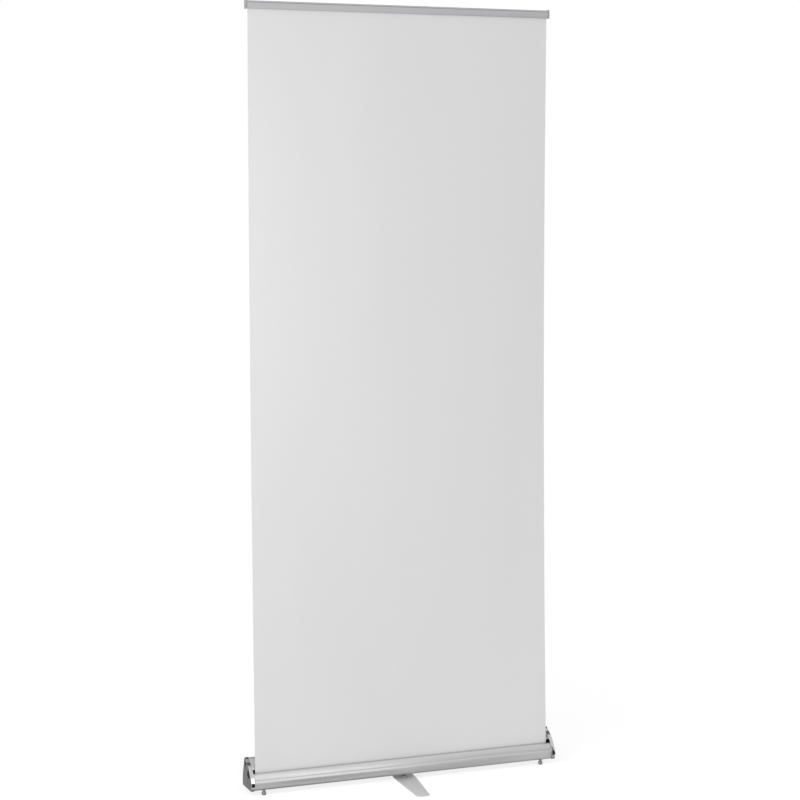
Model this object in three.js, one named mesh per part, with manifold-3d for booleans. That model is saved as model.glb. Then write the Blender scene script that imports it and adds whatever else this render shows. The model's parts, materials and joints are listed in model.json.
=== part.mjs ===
// Roll-up banner stand, in millimetres.
// X runs along the casing, -Y is the front, where the banner faces, and +Z is up.
// The origin is on the ground, under the pivot of the swivel foot.

import * as THREE from 'three';
import { mergeVertices } from 'three/addons/utils/BufferGeometryUtils.js';
import Module from 'manifold-3d';

const wasm = await Module();
wasm.setup();

// ---------------------------------------------------------------- driving dimensions

const FIT = 0.3;                 // gap between two pieces that touch or turn on each other

// Banner
const BANNER_WIDTH = 850;
const BANNER_HEIGHT = 2004;      // seen height, from the slot to the underside of the top rail
const BANNER_THICKNESS = 0.4;
const BANNER_LEAN = 25.5;        // how far the top edge stands behind the slot
const EDGE_CURL = 8;             // how much further back the right edge bows at half height
const CURL_WIDTH = 330;          // how far in from the right edge that bow reaches
const BANNER_IN_RAIL = 11;       // how far the top edge goes up between the rail's halves

// Casing
const SLOT_Y = -5;               // plane in which the banner leaves the slot
const SLOT_RISE = 42.2;          // from the underside of the casing to the slot's front lip
const SLOT_HALF_WIDTH = 3.2;
const CASING_OVERHANG = 8;       // casing past the banner, at each end
const CASING_WALL = 1.6;
const GROUND_GAP = 14.8;         // from the ground to the underside of the casing
const FRONT_ROOM = 14.6;         // from the full roll to the front skin
const REAR_ROOM = 14.9;          // from the full roll to the rear skin
const FIN_RISE = 35.8;           // from the slot's front lip to the top of the rear fin
const FIN_Y = 29.3;

// End caps
const CAP_THICKNESS = 9.7;
const CAP_RIM = 1.4;             // rim left round the cover's pocket
const COVER_THICKNESS = 2.2;
const COVER_PROUD = 0.4;
const CAP_EDGE = 0.6;            // rounding of the cap's edges
const COVER_EDGE = 0.4;
const BOSS_RADIUS = 8;           // boss that holds the roller's axle
const BOSS_LENGTH = 6;
const AXLE_SEAT = 4;             // how far the axle goes into the cap
const SCOOP_RADIUS = 12;         // thumb scoop in the front of the cover
const KEYHOLE_RADIUS = 6;

// Roller
const ROLLER_RADIUS = 13.5;
const ROLLER_WALL = 1.3;
const LEADER_THICKNESS = 0.8;    // turns of leader that stay on the roller
const AXLE_RADIUS = 3;
const PLUG_LENGTH = 15;
const SPRING_LENGTH = 90;
const SPRING_TURNS = 10;
const SPRING_RADIUS = 8.6;
const SPRING_WIRE = 1;           // radius of the wire
const ANCHOR_LENGTH = 10;

// Top rail
const RAIL_DEPTH = 11;
const RAIL_HEIGHT = 20.4;
const RAIL_OVERHANG = 2.5;       // rail past the banner, at each end
const RAIL_CAP_THICKNESS = 4.2;
const RAIL_CAP_PROUD = 1.4;
const BEAD_RADIUS = 1.8;         // round edge on which the front jaw turns
const BARREL_RADIUS = 3.4;       // outside of the groove that holds the bead
const GROOVE_RISE = 6;           // groove in the rail's back for the mast's hook
const GROOVE_HEIGHT = 4;
const GROOVE_DEPTH = 2.6;

// Telescopic mast
const MAST_RADIUS = 7;           // lowest section
const MAST_WALL = 0.7;
const MAST_OVERLAP = 60;         // how far one section stays in the next
const COLLAR_WALL = 1.2;
const COLLAR_LENGTH = 22;
const COLLAR_LIP = 8;            // part of the collar that stands above the tube
const GLIDE_LENGTH = 24;
const GLIDE_HEAD = 5;
const SOCKET_WALL = 1.4;
const SOCKET_RISE = 3;           // socket above the casing's fin
const HOOK_WIDTH = 18;

// Swivel foot
const FOOT_REACH = 190;          // from the pivot to each tip
const FOOT_MIDDLE = 61;          // width over the pivot
const FOOT_TIP = 38;             // width at the tips
const FOOT_SHOULDER = 25;        // from the pivot to where the straight sides start
const FOOT_THICKNESS = 3.7;
const FOOT_CORNER = 9;
const FOOT_EDGE = 0.8;           // rounding of the bar's edges
const FOOT_TURN = -5.4;          // degrees, as the foot stands at rest
const FOOT_PAD_RADIUS = 9;
const FOOT_PAD_THICKNESS = 1;
const FOOT_PAD_INSET = 14;       // from the tip to the pad's centre
const BOLT_RADIUS = 4;
const BOLT_HEAD_RADIUS = 7.6;
const BOLT_HEAD_HEIGHT = 2.8;
const WASHER_RADIUS = 12;
const WASHER_THICKNESS = 1;
const SPACER_RADIUS = 6;
const PIVOT_PLATE = [70, 28, 1.6];
const PIVOT_PLATE_Y = -3;

// Levelling feet
const LEVEL_FOOT_INSET = 29;     // from the end of the casing
const LEVEL_FOOT_SETBACK = 12.5; // from the front of the casing
const LEVEL_BULB_RADIUS = 6.5;
const LEVEL_BULB_CENTRE = 4.2;   // height of the bulb's widest place
const LEVEL_STEM_RADIUS = 4.5;
const LEVEL_THREAD_RADIUS = 3;
const LEVEL_NUT_WIDTH = 10;      // across the flats
const LEVEL_NUT_HEIGHT = 5;
const LEVEL_THREAD_ABOVE = 4;    // thread above the nut

// Cap screws
const SCREW_RADIUS = 1.9;
const SCREW_HEAD_RADIUS = 3.4;
const SCREW_HEAD_HEIGHT = 2;
const SCREW_LENGTH = 16;
const PORT_RADIUS = 4;
const PORT_UP_SLOPE = 12;        // place of the upper screw port, up the sloping top

// ---------------------------------------------------------------- sizes that follow

const baseZ = GROUND_GAP;
const slotZ = baseZ + SLOT_RISE;
const casingHalf = BANNER_WIDTH / 2 + CASING_OVERHANG;
const capInner = casingHalf + FIT;
const capOuter = capInner + CAP_THICKNESS;

const leaderRadius = ROLLER_RADIUS + FIT + LEADER_THICKNESS;
const windRadius = leaderRadius + FIT + BANNER_THICKNESS / 2;
const rollRadius = Math.sqrt(windRadius ** 2 + (BANNER_HEIGHT * BANNER_THICKNESS) / Math.PI);
const axisY = SLOT_Y + windRadius;
const plateTop = baseZ + CASING_WALL + FIT + PIVOT_PLATE[2];
const axisZ = plateTop + FIT + rollRadius;
const frontY = axisY - rollRadius - FRONT_ROOM;
const rearY = axisY + rollRadius + REAR_ROOM;
const levelFootY = frontY + LEVEL_FOOT_SETBACK;
const finZ = slotZ + FIN_RISE;

const railZ = slotZ + BANNER_HEIGHT;
const railY = SLOT_Y + BANNER_LEAN;
const railFront = railY - RAIL_DEPTH / 2 + 0.5;
const railRear = railFront + RAIL_DEPTH;
const railHalf = BANNER_WIDTH / 2 + RAIL_OVERHANG;
const beadY = railFront + BARREL_RADIUS + 0.1;
const beadZ = railZ + RAIL_HEIGHT - BARREL_RADIUS;

const middleRadius = MAST_RADIUS - MAST_WALL - FIT;
const upperRadius = middleRadius - MAST_WALL - FIT;
const collarRadius = MAST_RADIUS + FIT + COLLAR_WALL;
const mastY = railY + BANNER_THICKNESS / 2 + FIT + collarRadius;
const socketZ = axisZ + rollRadius + FIT;
const mastZ = socketZ + SOCKET_WALL + FIT;
const mastTop = railZ - 3;
const sectionLength = (mastTop - mastZ + 2 * MAST_OVERLAP) / 3;

const footZ = FOOT_PAD_THICKNESS + FIT;
const footTop = footZ + FOOT_THICKNESS;

// ---------------------------------------------------------------- materials

function surface(color, roughness, metalness) {
  return new THREE.MeshStandardMaterial({ color, roughness, metalness });
}

const anodised = surface(0xc9cacc, 0.34, 0.9);
const tubeMetal = surface(0xb9bbbe, 0.4, 0.9);
const steel = surface(0xa9abae, 0.3, 1);
const footMetal = surface(0xc4c5c8, 0.38, 0.85);
const brightPlastic = surface(0xb4b5b8, 0.18, 0.7);
const darkPlastic = surface(0x5f6063, 0.45, 0);
const blackPlastic = surface(0x1b1b1d, 0.5, 0);
const nylon = surface(0xd9d8d2, 0.5, 0);
const rubber = surface(0x26262a, 0.8, 0);
const film = surface(0xececec, 0.6, 0);

// ---------------------------------------------------------------- geometry helpers

const stand = new THREE.Group();

function add(name, geometry, material, place = [0, 0, 0], turnZ = 0) {
  const mesh = new THREE.Mesh(geometry, material);
  mesh.name = name;
  mesh.position.set(...place);
  mesh.rotation.z = THREE.MathUtils.degToRad(turnZ);
  stand.add(mesh);
}

function toSolid(geometry) {
  const bare = geometry.clone();
  bare.deleteAttribute('normal');
  bare.deleteAttribute('uv');
  const merged = mergeVertices(bare, 1e-4);
  return new wasm.Manifold(new wasm.Mesh({
    numProp: 3,
    vertProperties: merged.getAttribute('position').array,
    triVerts: new Uint32Array(merged.getIndex().array),
  }));
}

function toGeometry(solid) {
  const mesh = solid.getMesh();
  const geometry = new THREE.BufferGeometry();
  geometry.setAttribute('position', new THREE.BufferAttribute(mesh.vertProperties, 3));
  geometry.setIndex(new THREE.BufferAttribute(mesh.triVerts, 1));
  geometry.computeVertexNormals();
  return geometry;
}

function join(base, ...others) {
  return toGeometry(others.reduce((sum, other) => sum.add(toSolid(other)), toSolid(base)));
}

function cut(base, ...tools) {
  return toGeometry(tools.reduce((rest, tool) => rest.subtract(toSolid(tool)), toSolid(base)));
}

function outline(points) {
  return new THREE.Shape(points.map(([u, v]) => new THREE.Vector2(u, v)));
}

function arc(centreU, centreV, radius, fromDegrees, toDegrees, steps) {
  const points = [];
  for (let i = 0; i <= steps; i += 1) {
    const angle = THREE.MathUtils.degToRad(fromDegrees + ((toDegrees - fromDegrees) * i) / steps);
    points.push([centreU + radius * Math.cos(angle), centreV + radius * Math.sin(angle)]);
  }
  return points;
}

function smooth(points, steps) {
  const curve = new THREE.SplineCurve(points.map(([u, v]) => new THREE.Vector2(u, v)));
  return curve.getPoints(steps).map((point) => [point.x, point.y]);
}

// Moves an outline to its left, keeping the distance along each side.
function offset(points, distance, closed) {
  const count = points.length;
  const leftOf = (a, b) => {
    const length = Math.hypot(b[0] - a[0], b[1] - a[1]);
    return [(a[1] - b[1]) / length, (b[0] - a[0]) / length];
  };
  return points.map((point, i) => {
    const hasBefore = closed || i > 0;
    const hasAfter = closed || i < count - 1;
    const after = hasAfter ? leftOf(point, points[(i + 1) % count]) : null;
    const before = hasBefore ? leftOf(points[(i + count - 1) % count], point) : after;
    const next = after ?? before;
    const reach = distance / (1 + before[0] * next[0] + before[1] * next[1]);
    return [point[0] + (before[0] + next[0]) * reach, point[1] + (before[1] + next[1]) * reach];
  });
}

// A section drawn in the YZ plane, run along X.
function alongX(shape, from, to, bevel = 0) {
  const geometry = new THREE.ExtrudeGeometry(shape, {
    depth: to - from - 2 * bevel,
    curveSegments: 8,
    bevelEnabled: bevel > 0,
    bevelThickness: bevel,
    bevelSize: bevel,
    bevelOffset: -bevel,
    bevelSegments: 1,
  });
  geometry.translate(0, 0, from + bevel);
  const yAxis = new THREE.Vector3(0, 1, 0);
  const zAxis = new THREE.Vector3(0, 0, 1);
  const xAxis = new THREE.Vector3(1, 0, 0);
  return geometry.applyMatrix4(new THREE.Matrix4().makeBasis(yAxis, zAxis, xAxis));
}

// A closed section of [radius, height] points, turned about Z.
function turned(profile, sides = 20) {
  const points = profile.map(([radius, height]) => new THREE.Vector2(radius, height));
  return new THREE.LatheGeometry(points, sides).rotateX(Math.PI / 2);
}

// The same, turned about X, with heights read along +X.
function turnedX(profile, sides = 20) {
  const points = profile.map(([radius, height]) => new THREE.Vector2(radius, height));
  return new THREE.LatheGeometry(points, sides).rotateZ(-Math.PI / 2);
}

function rod(radius, from, to) {
  return [[0, from], [radius, from], [radius, to], [0, to]];
}

function ring(inner, outer, from, to) {
  return [[inner, from], [outer, from], [outer, to], [inner, to], [inner, from]];
}

// A round bar that lies along X.
function barX(radius, y, z, from, to, sides = 20) {
  return turnedX(rod(radius, from, to), sides).translate(0, y, z);
}

// The stretch from near to far on one side of the middle, lowest first.
function span(side, near, far) {
  return side > 0 ? [near, far] : [-far, -near];
}

function block(sizeX, sizeY, sizeZ, x, y, z) {
  return new THREE.BoxGeometry(sizeX, sizeY, sizeZ).translate(x, y, z);
}

const ends = [['left', -1], ['right', 1]];

// ---------------------------------------------------------------- casing

const rearLip = [SLOT_Y + SLOT_HALF_WIDTH + 0.3, slotZ + 9];
const finFoot = [FIN_Y - 3.6, finZ - 1.9];
const casingSkin = [
  [SLOT_Y - SLOT_HALF_WIDTH, slotZ],
  [SLOT_Y - 8.5, slotZ - 7],
  ...smooth([
    [SLOT_Y - 14.5, slotZ - 13.5],
    [frontY + 1.8, slotZ - 20],
    [frontY, baseZ + 14.5],
    [frontY + 1.2, baseZ + 6],
    [frontY + 6.5, baseZ],
  ], 14),
  [rearY - 5, baseZ],
  [rearY - 1.4, baseZ + 1.6],
  [rearY, baseZ + 6],
  [rearY - 2, slotZ - 14],
  [rearY - 8, slotZ + 17],
  ...smooth([[FIN_Y + 5.8, finZ - 6.5], [FIN_Y + 3.4, finZ - 1.4], [FIN_Y, finZ], finFoot], 8),
  rearLip,
];

// Three ports for screws run inside the skin, for its whole length.
const portDepth = CASING_WALL + PORT_RADIUS * 0.8;
const slope = Math.atan2(finFoot[1] - rearLip[1], finFoot[0] - rearLip[0]);
const portPlaces = [
  [frontY + portDepth, baseZ + 14.5],
  [rearY - portDepth - 0.4, baseZ + 9],
  [
    rearLip[0] + PORT_UP_SLOPE * Math.cos(slope) + portDepth * Math.sin(slope),
    rearLip[1] + PORT_UP_SLOPE * Math.sin(slope) - portDepth * Math.cos(slope),
  ],
];

const levelFeet = ends.map(([name, side]) => [name, side * (casingHalf - LEVEL_FOOT_INSET)]);
const socketOuter = MAST_RADIUS + FIT + SOCKET_WALL;

function holeInBase(radius, x, y) {
  return turned(rod(radius, 0, baseZ + 4)).translate(x, y, 0);
}

const bareCasing = alongX(
  outline([...casingSkin, ...offset(casingSkin, CASING_WALL, false).reverse()]),
  -casingHalf,
  casingHalf,
);
const ports = portPlaces.map(([y, z]) => barX(PORT_RADIUS, y, z, -casingHalf, casingHalf, 14));
const portHoles = portPlaces.map(
  ([y, z]) => barX(SCREW_RADIUS + FIT, y, z, -casingHalf - 1, casingHalf + 1, 10),
);
add('cassette_body', cut(
  join(bareCasing, ...ports),
  ...portHoles,
  turned(rod(socketOuter + FIT, socketZ - FIT, finZ + 10)).translate(0, mastY, 0),
  holeInBase(BOLT_RADIUS + FIT, 0, 0),
  ...levelFeet.map(([, x]) => holeInBase(LEVEL_THREAD_RADIUS + FIT, x, levelFootY)),
), anodised);

// ---------------------------------------------------------------- end caps

const capSkin = smooth([
  [frontY + 2.5, baseZ - 0.4],
  [frontY - 2.5, baseZ + 7],
  [frontY - 3.8, baseZ + 17],
  [frontY - 0.5, slotZ - 15],
  [SLOT_Y - 14, slotZ - 1],
  [SLOT_Y - 4, slotZ + 10],
  [SLOT_Y + 6, slotZ + 19.5],
  [SLOT_Y + 19, slotZ + 27.5],
  [FIN_Y - 7, finZ - 2],
  [FIN_Y + 0.8, finZ + 1.2],
  [FIN_Y + 6.2, finZ - 5],
  [rearY - 7, slotZ + 16.6],
  [rearY + 1, slotZ - 14],
  [rearY + 2, baseZ + 6],
  [rearY - 3, baseZ - 0.4],
], 44).reverse();
const pocketX = capOuter + COVER_PROUD - COVER_THICKNESS - FIT;
const axleEnd = capInner + AXLE_SEAT;
const scoopPlace = [SLOT_Y + 3, slotZ - 2];
const keyholePlace = [FIN_Y - 9.3, finZ - 14];

for (const [name, side] of ends) {
  add(`end_cap_${name}`, cut(
    join(
      alongX(outline(capSkin), ...span(side, capInner, capOuter), CAP_EDGE),
      barX(BOSS_RADIUS, axisY, axisZ, ...span(side, casingHalf - BOSS_LENGTH, capInner + 1)),
    ),
    alongX(outline(offset(capSkin, CAP_RIM, true)), ...span(side, pocketX, capOuter + 1)),
    barX(AXLE_RADIUS + FIT, axisY, axisZ, ...span(side, casingHalf - BOSS_LENGTH - 1, axleEnd + FIT)),
    ...portPlaces.flatMap(([y, z]) => [
      barX(SCREW_RADIUS + FIT, y, z, ...span(side, capInner - 1, pocketX + 1), 10),
      barX(
        SCREW_HEAD_RADIUS + FIT,
        y,
        z,
        ...span(side, pocketX - SCREW_HEAD_HEIGHT - FIT, pocketX + 1),
        12,
      ),
    ]),
  ), brightPlastic);

  const through = span(side, pocketX - 1, capOuter + 2);
  add(`end_cover_${name}`, cut(
    alongX(
      outline(offset(capSkin, CAP_RIM + FIT, true)),
      ...span(side, pocketX + FIT, capOuter + COVER_PROUD),
      COVER_EDGE,
    ),
    barX(SCOOP_RADIUS, ...scoopPlace, ...through),
    barX(KEYHOLE_RADIUS, ...keyholePlace, ...through),
  ), darkPlastic);

  portPlaces.forEach(([y, z], i) => {
    const headFrom = pocketX - SCREW_HEAD_HEIGHT;
    add(`cap_screw_${name}_${i + 1}`, join(
      barX(SCREW_RADIUS, 0, 0, ...span(side, headFrom - SCREW_LENGTH, headFrom + 1), 10),
      barX(SCREW_HEAD_RADIUS, 0, 0, ...span(side, headFrom, pocketX), 12),
    ), steel, [0, y, z]);
  });
}

// ---------------------------------------------------------------- roller and its spring

const rollerHalf = casingHalf - BOSS_LENGTH - 2 * FIT;
const rollerInner = ROLLER_RADIUS - ROLLER_WALL;
const onAxis = [0, axisY, axisZ];

add('roller_tube', turnedX(ring(rollerInner, ROLLER_RADIUS, -rollerHalf, rollerHalf)), tubeMetal, onAxis);
add('leader_wrap', turnedX(
  ring(ROLLER_RADIUS + FIT, leaderRadius, -BANNER_WIDTH / 2, BANNER_WIDTH / 2),
), film, onAxis);

for (const [name, side] of ends) {
  add(`roller_plug_${name}`, turnedX(
    ring(AXLE_RADIUS + FIT, rollerInner - FIT, ...span(side, rollerHalf - PLUG_LENGTH, rollerHalf)),
  ), nylon, onAxis);
}

const springFrom = -(rollerHalf - PLUG_LENGTH - 2);
const springTo = springFrom + SPRING_LENGTH;
const anchorTo = springTo + 2 + ANCHOR_LENGTH;
add('spring_axle', turnedX(rod(AXLE_RADIUS, -axleEnd, anchorTo + 4), 12), steel, onAxis);
add('idle_pin', turnedX(rod(AXLE_RADIUS, rollerHalf - PLUG_LENGTH - 4, axleEnd), 12), steel, onAxis);
add('spring_anchor', turnedX(
  ring(AXLE_RADIUS + FIT, rollerInner - 2, springTo + 2, anchorTo),
), nylon, onAxis);

class Coil extends THREE.Curve {
  getPoint(t, target = new THREE.Vector3()) {
    const angle = 2 * Math.PI * SPRING_TURNS * t;
    const radius = SPRING_RADIUS;
    const x = springFrom + SPRING_WIRE + (SPRING_LENGTH - 2 * SPRING_WIRE) * t;
    return target.set(x, radius * Math.cos(angle), radius * Math.sin(angle));
  }
}
add('torsion_spring', new THREE.ExtrudeGeometry(outline(arc(0, 0, SPRING_WIRE, 0, 270, 3)), {
  steps: SPRING_TURNS * 10,
  extrudePath: new Coil(),
}), steel, onAxis);

// ---------------------------------------------------------------- banner

// The banner hangs straight down from the slot to the roller, and bows back above the slot.
function bannerY(x, z) {
  const t = THREE.MathUtils.clamp((z - slotZ) / BANNER_HEIGHT, 0, 1);
  const inward = (BANNER_WIDTH / 2 - x) / CURL_WIDTH;
  const nearEdge = Math.max(0, 1 - inward) ** 2;
  return SLOT_Y + BANNER_LEAN * (1 - (1 - t) ** 2) + EDGE_CURL * Math.sin(Math.PI * t) * nearEdge;
}

const bannerBottom = axisZ;
const bannerTop = railZ + BANNER_IN_RAIL;
const sheet = new THREE.BoxGeometry(BANNER_WIDTH, BANNER_THICKNESS, bannerTop - bannerBottom, 6, 1, 20);
sheet.translate(0, 0, (bannerTop + bannerBottom) / 2);
const sheetPoints = sheet.getAttribute('position');
for (let i = 0; i < sheetPoints.count; i += 1) {
  const back = bannerY(sheetPoints.getX(i), sheetPoints.getZ(i));
  sheetPoints.setY(i, sheetPoints.getY(i) + back);
}
add('banner', sheet, film);

// ---------------------------------------------------------------- top rail

const clampGap = BANNER_THICKNESS / 2 + FIT;
const railTop = railZ + RAIL_HEIGHT;
const barrel = arc(beadY, beadZ, BARREL_RADIUS, 90, 180, 6);
const seat = arc(beadY, beadZ, BEAD_RADIUS + FIT, 180, -55, 14);
add('rail_rear', alongX(outline([
  [railRear, railZ],
  [railRear, railZ + GROOVE_RISE],
  [railRear - GROOVE_DEPTH, railZ + GROOVE_RISE],
  [railRear - GROOVE_DEPTH, railZ + GROOVE_RISE + GROOVE_HEIGHT],
  [railRear, railZ + GROOVE_RISE + GROOVE_HEIGHT],
  ...arc(railRear - 2, railTop - 2, 2, 0, 90, 4),
  ...barrel,
  ...seat,
  [railY + clampGap, beadZ - BARREL_RADIUS],
  [railY + clampGap, railZ],
]), -railHalf, railHalf), anodised);

// The front jaw turns on its bead and swings forward and up to free the banner.
const neck = 0.7;
const neckZ = beadZ - Math.sqrt(BEAD_RADIUS ** 2 - neck ** 2);
const clear = BARREL_RADIUS + FIT;
const clearFrom = THREE.MathUtils.radToDeg(Math.acos((railFront - beadY) / clear));
const clearTo = 90 + THREE.MathUtils.radToDeg(Math.asin(neck / clear));
add('rail_front_jaw', alongX(outline([
  [railFront + 0.8, railZ],
  [railY - clampGap, railZ],
  [railY - clampGap, railZ + 3.4],
  [railY - clampGap - 1.4, railZ + 4.4],
  [railY - clampGap - 1.4, beadZ - clear - 1],
  [beadY + neck, beadZ - clear],
  [beadY + neck, neckZ],
  ...arc(beadY, beadZ, BEAD_RADIUS, -60, 240, 12),
  [beadY - neck, neckZ],
  ...arc(beadY, beadZ, clear, -clearTo, -clearFrom, 4),
  [railFront, railZ + 0.8],
]), -railHalf + FIT, railHalf - FIT), anodised);

for (const [name, side] of ends) {
  const low = railZ - RAIL_CAP_PROUD;
  const high = railTop + RAIL_CAP_PROUD;
  const front = railFront - 0.6;
  const rear = railRear + 0.6;
  add(`rail_cap_${name}`, alongX(
    outline([
      ...arc(front + 2, low + 2, 2, 180, 270, 3),
      ...arc(rear - 2, low + 2, 2, 270, 360, 3),
      ...arc(rear - 2, high - 2, 2, 0, 90, 3),
      ...arc(front + 2, high - 2, 2, 90, 180, 3),
    ]),
    ...span(side, railHalf + FIT, railHalf + FIT + RAIL_CAP_THICKNESS),
    0.8,
  ), brightPlastic);
}

// ---------------------------------------------------------------- telescopic mast

const onMast = [0, mastY, 0];
const lowerTop = mastZ + sectionLength;
const middleZ = lowerTop - MAST_OVERLAP;
const middleTop = middleZ + sectionLength;
const upperZ = middleTop - MAST_OVERLAP;

function tube(radius, from, to) {
  return turned(ring(radius - MAST_WALL, radius, from, to));
}

// A collar slips over the top of one section and guides the next one.
function collar(radius, top) {
  return turned([
    [radius + FIT, top - COLLAR_LENGTH + COLLAR_LIP],
    [radius + FIT + COLLAR_WALL, top - COLLAR_LENGTH + COLLAR_LIP],
    [radius + FIT + COLLAR_WALL, top + COLLAR_LIP - 1],
    [radius + FIT + COLLAR_WALL - 1, top + COLLAR_LIP],
    [radius - MAST_WALL, top + COLLAR_LIP],
    [radius - MAST_WALL, top + FIT],
    [radius + FIT, top + FIT],
    [radius + FIT, top - COLLAR_LENGTH + COLLAR_LIP],
  ]);
}

// A glide is pressed into the foot of a section and runs on the wall of the one below.
function glide(radius, bottom) {
  const inner = radius - MAST_WALL - FIT;
  return turned([
    [0, bottom - FIT - GLIDE_HEAD],
    [radius, bottom - FIT - GLIDE_HEAD],
    [radius, bottom - FIT],
    [inner, bottom - FIT],
    [inner, bottom - FIT - GLIDE_HEAD + GLIDE_LENGTH],
    [0, bottom - FIT - GLIDE_HEAD + GLIDE_LENGTH],
  ]);
}

add('mast_socket', turned([
  [0, socketZ],
  [socketOuter, socketZ],
  [socketOuter, finZ + SOCKET_RISE],
  [MAST_RADIUS + FIT, finZ + SOCKET_RISE],
  [MAST_RADIUS + FIT, socketZ + SOCKET_WALL],
  [0, socketZ + SOCKET_WALL],
]), blackPlastic, onMast);
add('mast_lower', tube(MAST_RADIUS, mastZ, lowerTop), tubeMetal, onMast);
add('mast_collar_lower', collar(MAST_RADIUS, lowerTop), blackPlastic, onMast);
add('mast_middle', tube(middleRadius, middleZ, middleTop), tubeMetal, onMast);
add('mast_glide_middle', glide(middleRadius, middleZ), nylon, onMast);
add('mast_collar_middle', collar(middleRadius, middleTop), blackPlastic, onMast);
add('mast_upper', tube(upperRadius, upperZ, mastTop), tubeMetal, onMast);
add('mast_glide_upper', glide(upperRadius, upperZ), nylon, onMast);

// The hook at the top of the mast: a plug, a head behind the rail, and a lip in its groove.
const headFront = railRear + FIT;
const headRear = mastY + upperRadius;
const headZ = mastTop + FIT;
const headTop = railTop - 2;
const lipZ = railZ + GROOVE_RISE + GROOVE_HEIGHT / 2;
const lipFront = railRear - GROOVE_DEPTH + FIT;
const headY = (headFront + headRear) / 2;
const lipRear = headFront + 1;
add('mast_top_hook', join(
  turned(rod(upperRadius - MAST_WALL - FIT, mastTop - PLUG_LENGTH, headZ + 1)).translate(...onMast),
  block(HOOK_WIDTH, headRear - headFront, headTop - headZ, 0, headY, (headZ + headTop) / 2),
  block(HOOK_WIDTH, lipRear - lipFront, GROOVE_HEIGHT - 2 * FIT, 0, (lipRear + lipFront) / 2, lipZ),
), blackPlastic);

// ---------------------------------------------------------------- swivel foot

const footOutline = new THREE.Shape();
const tipHalf = FOOT_TIP / 2;
const middleHalf = FOOT_MIDDLE / 2;
const straightEnd = FOOT_REACH - FOOT_CORNER;
const shoulderHalf = middleHalf - ((middleHalf - tipHalf) * FOOT_SHOULDER) / straightEnd;
footOutline.moveTo(-shoulderHalf, -FOOT_SHOULDER);
footOutline.lineTo(-tipHalf, -straightEnd);
footOutline.quadraticCurveTo(-tipHalf, -FOOT_REACH, -tipHalf + FOOT_CORNER, -FOOT_REACH);
footOutline.lineTo(tipHalf - FOOT_CORNER, -FOOT_REACH);
footOutline.quadraticCurveTo(tipHalf, -FOOT_REACH, tipHalf, -straightEnd);
footOutline.lineTo(shoulderHalf, -FOOT_SHOULDER);
footOutline.quadraticCurveTo(middleHalf, 0, shoulderHalf, FOOT_SHOULDER);
footOutline.lineTo(tipHalf, straightEnd);
footOutline.quadraticCurveTo(tipHalf, FOOT_REACH, tipHalf - FOOT_CORNER, FOOT_REACH);
footOutline.lineTo(-tipHalf + FOOT_CORNER, FOOT_REACH);
footOutline.quadraticCurveTo(-tipHalf, FOOT_REACH, -tipHalf, straightEnd);
footOutline.lineTo(-shoulderHalf, FOOT_SHOULDER);
footOutline.quadraticCurveTo(-middleHalf, 0, -shoulderHalf, -FOOT_SHOULDER);

const footBar = new THREE.ExtrudeGeometry(footOutline, {
  depth: FOOT_THICKNESS - 2 * FOOT_EDGE,
  curveSegments: 6,
  bevelThickness: FOOT_EDGE,
  bevelSize: FOOT_EDGE,
  bevelOffset: -FOOT_EDGE,
  bevelSegments: 1,
}).translate(0, 0, footZ + FOOT_EDGE);
const sinkTop = footZ + BOLT_HEAD_HEIGHT;
add('foot_bar', cut(footBar, turned([
  [0, footZ - 1],
  [BOLT_HEAD_RADIUS + FIT, footZ - 1],
  [BOLT_HEAD_RADIUS + FIT, footZ + 0.3],
  [BOLT_RADIUS + FIT, sinkTop + 0.3],
  [BOLT_RADIUS + FIT, footTop + 1],
  [0, footTop + 1],
])), footMetal, [0, 0, 0], FOOT_TURN);

const padReach = FOOT_REACH - FOOT_PAD_INSET;
const turn = THREE.MathUtils.degToRad(FOOT_TURN);
for (const [name, side] of [['front', -1], ['rear', 1]]) {
  const place = [-side * padReach * Math.sin(turn), side * padReach * Math.cos(turn), 0];
  add(`foot_pad_${name}`, turned(rod(FOOT_PAD_RADIUS, 0, FOOT_PAD_THICKNESS)), rubber, place);
}

const washerZ = footTop + FIT;
const spacerZ = washerZ + WASHER_THICKNESS + FIT;
add('pivot_bolt', turned([
  [0, footZ],
  [BOLT_HEAD_RADIUS, footZ],
  [BOLT_RADIUS, sinkTop],
  [BOLT_RADIUS, plateTop],
  [0, plateTop],
]), steel);
add('pivot_washer', turned(
  ring(BOLT_RADIUS + FIT, WASHER_RADIUS, washerZ, washerZ + WASHER_THICKNESS),
), nylon);
add('pivot_spacer', turned(ring(BOLT_RADIUS + FIT, SPACER_RADIUS, spacerZ, baseZ - FIT)), steel);
add('pivot_plate', cut(
  block(...PIVOT_PLATE, 0, PIVOT_PLATE_Y, plateTop - PIVOT_PLATE[2] / 2),
  turned(rod(BOLT_RADIUS + FIT, 0, plateTop + 1)),
), steel);

// ---------------------------------------------------------------- levelling feet

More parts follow.
